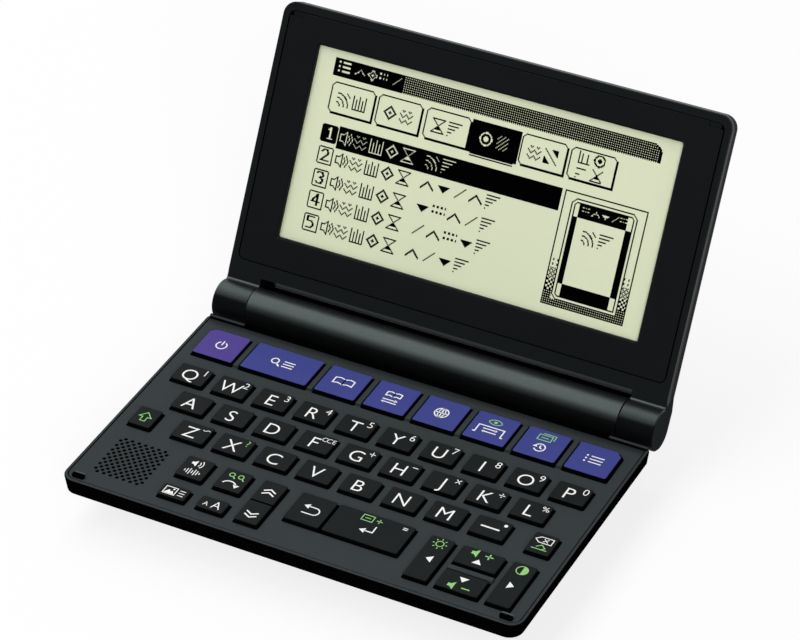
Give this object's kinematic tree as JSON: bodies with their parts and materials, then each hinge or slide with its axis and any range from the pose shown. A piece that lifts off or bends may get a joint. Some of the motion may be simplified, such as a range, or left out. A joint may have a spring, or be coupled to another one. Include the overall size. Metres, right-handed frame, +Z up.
{
  "type": "electronic dictionary",
  "caption": "Pocket electronic dictionary: a slim keyboard base with a hinged display lid, letter keys, a row of function keys, an arrow pad and a speaker grille.",
  "frame": {"origin": "middle of the flat underside of the base", "axes": "+X along the hinge to the right as seen by the user, +Y from the front edge to the hinge, +Z up out of the keyboard; the lid stands open at rest"},
  "size_m": [0.1116, 0.1103, 0.0738],
  "materials": {
    "letter_keys": "moulded key caps, fine matte",
    "control_keys": "moulded key caps, fine matte",
    "blue_keys": "moulded blue key caps",
    "power_key": "moulded violet key cap",
    "case": "satin injection-moulded ABS",
    "deck": "satin grey injection-moulded ABS",
    "cell_sleeve": "printed cell sleeve",
    "board": "green circuit board",
    "mat": "grey silicone rubber",
    "speaker": "small speaker, black",
    "screws": "zinc plated steel",
    "pins": "steel hinge pins",
    "bezel": "satin moulded bezel",
    "display": "reflective liquid crystal panel"
  },
  "bodies": {
    "base": {"lower_case": "case", "keyboard_deck": "deck", "batteries": "cell_sleeve", "main_board": "board", "key_mat": "mat", "speaker": "speaker", "case_screws": "screws", "hinge_pins": "pins"},
    "lid": {"lid_cover": "case", "lid_bezel": "bezel", "lcd_panel": "display"},
    "cover": {"battery_cover": "case"},
    "key_q": {"key_q": "letter_keys"},
    "key_w": {"key_w": "letter_keys"},
    "key_e": {"key_e": "letter_keys"},
    "key_r": {"key_r": "letter_keys"},
    "key_t": {"key_t": "letter_keys"},
    "key_y": {"key_y": "letter_keys"},
    "key_u": {"key_u": "letter_keys"},
    "key_i": {"key_i": "letter_keys"},
    "key_o": {"key_o": "letter_keys"},
    "key_p": {"key_p": "letter_keys"},
    "key_a": {"key_a": "letter_keys"},
    "key_s": {"key_s": "letter_keys"},
    "key_d": {"key_d": "letter_keys"},
    "key_f": {"key_f": "letter_keys"},
    "key_g": {"key_g": "letter_keys"},
    "key_h": {"key_h": "letter_keys"},
    "key_j": {"key_j": "letter_keys"},
    "key_k": {"key_k": "letter_keys"},
    "key_l": {"key_l": "letter_keys"},
    "key_z": {"key_z": "letter_keys"},
    "key_x": {"key_x": "letter_keys"},
    "key_c": {"key_c": "letter_keys"},
    "key_v": {"key_v": "letter_keys"},
    "key_b": {"key_b": "letter_keys"},
    "key_n": {"key_n": "letter_keys"},
    "key_m": {"key_m": "letter_keys"},
    "key_dash": {"key_dash": "letter_keys"},
    "power_key": {"power_key": "power_key"},
    "shift_key": {"shift_key": "control_keys"},
    "clear_key": {"clear_key": "control_keys"},
    "left_key": {"left_key": "control_keys"},
    "right_key": {"right_key": "control_keys"},
    "up_key": {"up_key": "control_keys"},
    "down_key": {"down_key": "control_keys"},
    "back_key": {"back_key": "control_keys"},
    "enter_key": {"enter_key": "control_keys"},
    "voice_key": {"voice_key": "control_keys"},
    "jump_key": {"jump_key": "control_keys"},
    "figure_key": {"figure_key": "control_keys"},
    "text_size_key": {"text_size_key": "control_keys"},
    "search_key": {"search_key": "blue_keys"},
    "book_key_1": {"book_key_1": "blue_keys"},
    "book_key_2": {"book_key_2": "blue_keys"},
    "book_key_3": {"book_key_3": "blue_keys"},
    "switch_key": {"switch_key": "blue_keys"},
    "history_key": {"history_key": "blue_keys"},
    "menu_key": {"menu_key": "blue_keys"},
    "page_key": {"page_key": "control_keys"}
  },
  "joints": [
    {"name": "lid_hinge", "type": "hinge", "parent": "base", "child": "lid", "pos_m": [0, 0.03295, 0.0129], "axis": [1, 0, 0], "range_deg": [-20, 120.26]},
    {"name": "cover_slide", "type": "slide", "parent": "base", "child": "cover", "axis": [0, 1, 0], "range_m": [0, 0.003]},
    {"name": "key_q_press", "type": "slide", "parent": "base", "child": "key_q", "axis": [0, 0, -1], "range_m": [0, 0.0004], "stiffness_N_per_m": 2000},
    {"name": "key_w_press", "type": "slide", "parent": "base", "child": "key_w", "axis": [0, 0, -1], "range_m": [0, 0.0004], "stiffness_N_per_m": 2000},
    {"name": "key_e_press", "type": "slide", "parent": "base", "child": "key_e", "axis": [0, 0, -1], "range_m": [0, 0.0004], "stiffness_N_per_m": 2000},
    {"name": "key_r_press", "type": "slide", "parent": "base", "child": "key_r", "axis": [0, 0, -1], "range_m": [0, 0.0004], "stiffness_N_per_m": 2000},
    {"name": "key_t_press", "type": "slide", "parent": "base", "child": "key_t", "axis": [0, 0, -1], "range_m": [0, 0.0004], "stiffness_N_per_m": 2000},
    {"name": "key_y_press", "type": "slide", "parent": "base", "child": "key_y", "axis": [0, 0, -1], "range_m": [0, 0.0004], "stiffness_N_per_m": 2000},
    {"name": "key_u_press", "type": "slide", "parent": "base", "child": "key_u", "axis": [0, 0, -1], "range_m": [0, 0.0004], "stiffness_N_per_m": 2000},
    {"name": "key_i_press", "type": "slide", "parent": "base", "child": "key_i", "axis": [0, 0, -1], "range_m": [0, 0.0004], "stiffness_N_per_m": 2000},
    {"name": "key_o_press", "type": "slide", "parent": "base", "child": "key_o", "axis": [0, 0, -1], "range_m": [0, 0.0004], "stiffness_N_per_m": 2000},
    {"name": "key_p_press", "type": "slide", "parent": "base", "child": "key_p", "axis": [0, 0, -1], "range_m": [0, 0.0004], "stiffness_N_per_m": 2000},
    {"name": "key_a_press", "type": "slide", "parent": "base", "child": "key_a", "axis": [0, 0, -1], "range_m": [0, 0.0004], "stiffness_N_per_m": 2000},
    {"name": "key_s_press", "type": "slide", "parent": "base", "child": "key_s", "axis": [0, 0, -1], "range_m": [0, 0.0004], "stiffness_N_per_m": 2000},
    {"name": "key_d_press", "type": "slide", "parent": "base", "child": "key_d", "axis": [0, 0, -1], "range_m": [0, 0.0004], "stiffness_N_per_m": 2000},
    {"name": "key_f_press", "type": "slide", "parent": "base", "child": "key_f", "axis": [0, 0, -1], "range_m": [0, 0.0004], "stiffness_N_per_m": 2000},
    {"name": "key_g_press", "type": "slide", "parent": "base", "child": "key_g", "axis": [0, 0, -1], "range_m": [0, 0.0004], "stiffness_N_per_m": 2000},
    {"name": "key_h_press", "type": "slide", "parent": "base", "child": "key_h", "axis": [0, 0, -1], "range_m": [0, 0.0004], "stiffness_N_per_m": 2000},
    {"name": "key_j_press", "type": "slide", "parent": "base", "child": "key_j", "axis": [0, 0, -1], "range_m": [0, 0.0004], "stiffness_N_per_m": 2000},
    {"name": "key_k_press", "type": "slide", "parent": "base", "child": "key_k", "axis": [0, 0, -1], "range_m": [0, 0.0004], "stiffness_N_per_m": 2000},
    {"name": "key_l_press", "type": "slide", "parent": "base", "child": "key_l", "axis": [0, 0, -1], "range_m": [0, 0.0004], "stiffness_N_per_m": 2000},
    {"name": "key_z_press", "type": "slide", "parent": "base", "child": "key_z", "axis": [0, 0, -1], "range_m": [0, 0.0004], "stiffness_N_per_m": 2000},
    {"name": "key_x_press", "type": "slide", "parent": "base", "child": "key_x", "axis": [0, 0, -1], "range_m": [0, 0.0004], "stiffness_N_per_m": 2000},
    {"name": "key_c_press", "type": "slide", "parent": "base", "child": "key_c", "axis": [0, 0, -1], "range_m": [0, 0.0004], "stiffness_N_per_m": 2000},
    {"name": "key_v_press", "type": "slide", "parent": "base", "child": "key_v", "axis": [0, 0, -1], "range_m": [0, 0.0004], "stiffness_N_per_m": 2000},
    {"name": "key_b_press", "type": "slide", "parent": "base", "child": "key_b", "axis": [0, 0, -1], "range_m": [0, 0.0004], "stiffness_N_per_m": 2000},
    {"name": "key_n_press", "type": "slide", "parent": "base", "child": "key_n", "axis": [0, 0, -1], "range_m": [0, 0.0004], "stiffness_N_per_m": 2000},
    {"name": "key_m_press", "type": "slide", "parent": "base", "child": "key_m", "axis": [0, 0, -1], "range_m": [0, 0.0004], "stiffness_N_per_m": 2000},
    {"name": "key_dash_press", "type": "slide", "parent": "base", "child": "key_dash", "axis": [0, 0, -1], "range_m": [0, 0.0004], "stiffness_N_per_m": 2000},
    {"name": "power_key_press", "type": "slide", "parent": "base", "child": "power_key", "axis": [0, 0, -1], "range_m": [0, 0.0004], "stiffness_N_per_m": 2000},
    {"name": "shift_key_press", "type": "slide", "parent": "base", "child": "shift_key", "axis": [0, 0, -1], "range_m": [0, 0.0004], "stiffness_N_per_m": 2000},
    {"name": "clear_key_press", "type": "slide", "parent": "base", "child": "clear_key", "axis": [0, 0, -1], "range_m": [0, 0.0004], "stiffness_N_per_m": 2000},
    {"name": "left_key_press", "type": "slide", "parent": "base", "child": "left_key", "axis": [0, 0, -1], "range_m": [0, 0.0004], "stiffness_N_per_m": 2000},
    {"name": "right_key_press", "type": "slide", "parent": "base", "child": "right_key", "axis": [0, 0, -1], "range_m": [0, 0.0004], "stiffness_N_per_m": 2000},
    {"name": "up_key_press", "type": "slide", "parent": "base", "child": "up_key", "axis": [0, 0, -1], "range_m": [0, 0.0004], "stiffness_N_per_m": 2000},
    {"name": "down_key_press", "type": "slide", "parent": "base", "child": "down_key", "axis": [0, 0, -1], "range_m": [0, 0.0004], "stiffness_N_per_m": 2000},
    {"name": "back_key_press", "type": "slide", "parent": "base", "child": "back_key", "axis": [0, 0, -1], "range_m": [0, 0.0004], "stiffness_N_per_m": 2000},
    {"name": "enter_key_press", "type": "slide", "parent": "base", "child": "enter_key", "axis": [0, 0, -1], "range_m": [0, 0.0004], "stiffness_N_per_m": 2000},
    {"name": "voice_key_press", "type": "slide", "parent": "base", "child": "voice_key", "axis": [0, 0, -1], "range_m": [0, 0.0004], "stiffness_N_per_m": 2000},
    {"name": "jump_key_press", "type": "slide", "parent": "base", "child": "jump_key", "axis": [0, 0, -1], "range_m": [0, 0.0004], "stiffness_N_per_m": 2000},
    {"name": "figure_key_press", "type": "slide", "parent": "base", "child": "figure_key", "axis": [0, 0, -1], "range_m": [0, 0.0004], "stiffness_N_per_m": 2000},
    {"name": "text_size_key_press", "type": "slide", "parent": "base", "child": "text_size_key", "axis": [0, 0, -1], "range_m": [0, 0.0004], "stiffness_N_per_m": 2000},
    {"name": "search_key_press", "type": "slide", "parent": "base", "child": "search_key", "axis": [0, 0, -1], "range_m": [0, 0.0004], "stiffness_N_per_m": 2000},
    {"name": "book_key_1_press", "type": "slide", "parent": "base", "child": "book_key_1", "axis": [0, 0, -1], "range_m": [0, 0.0004], "stiffness_N_per_m": 2000},
    {"name": "book_key_2_press", "type": "slide", "parent": "base", "child": "book_key_2", "axis": [0, 0, -1], "range_m": [0, 0.0004], "stiffness_N_per_m": 2000},
    {"name": "book_key_3_press", "type": "slide", "parent": "base", "child": "book_key_3", "axis": [0, 0, -1], "range_m": [0, 0.0004], "stiffness_N_per_m": 2000},
    {"name": "switch_key_press", "type": "slide", "parent": "base", "child": "switch_key", "axis": [0, 0, -1], "range_m": [0, 0.0004], "stiffness_N_per_m": 2000},
    {"name": "history_key_press", "type": "slide", "parent": "base", "child": "history_key", "axis": [0, 0, -1], "range_m": [0, 0.0004], "stiffness_N_per_m": 2000},
    {"name": "menu_key_press", "type": "slide", "parent": "base", "child": "menu_key", "axis": [0, 0, -1], "range_m": [0, 0.0004], "stiffness_N_per_m": 2000},
    {"name": "page_key_rock", "type": "hinge", "parent": "base", "child": "page_key", "pos_m": [-0.0113, -0.0269, 0.01025], "axis": [1, 0, 0], "range_deg": [-3, 3], "stiffness_Nm_per_rad": 0.08}
  ]
}
